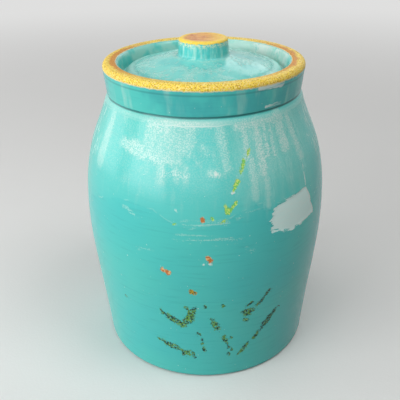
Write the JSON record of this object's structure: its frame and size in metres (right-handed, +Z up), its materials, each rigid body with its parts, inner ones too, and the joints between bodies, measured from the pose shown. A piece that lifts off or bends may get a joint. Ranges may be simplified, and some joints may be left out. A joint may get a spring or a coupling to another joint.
{
  "type": "biscuit jar",
  "caption": "Round lidded jar with a bellied barrel, collar and thick lip, for keeping biscuits; the domed lid sits on a ledge inside the collar and lifts by a round knob.",
  "frame": {"origin": "centre of the foot, on the plane that the jar stands on", "axes": "+Z up along the jar's own axis, through the lid's knob; +X and +Y are level and the form is the same all round"},
  "size_m": [0.19, 0.19, 0.2481],
  "materials": {
    "jar_paint": "glossy turquoise with a grainy yellow lip, worn and flaked",
    "lid_paint": "satin turquoise with a worn orange and yellow knob top"
  },
  "bodies": {
    "jar": {"jar_body": "jar_paint"},
    "lid": {"lid": "lid_paint"}
  },
  "joints": [
    {"name": "lid_lift", "type": "slide", "parent": "jar", "child": "lid", "axis": [0, 0, 1], "range_m": [0, 0.15]}
  ]
}
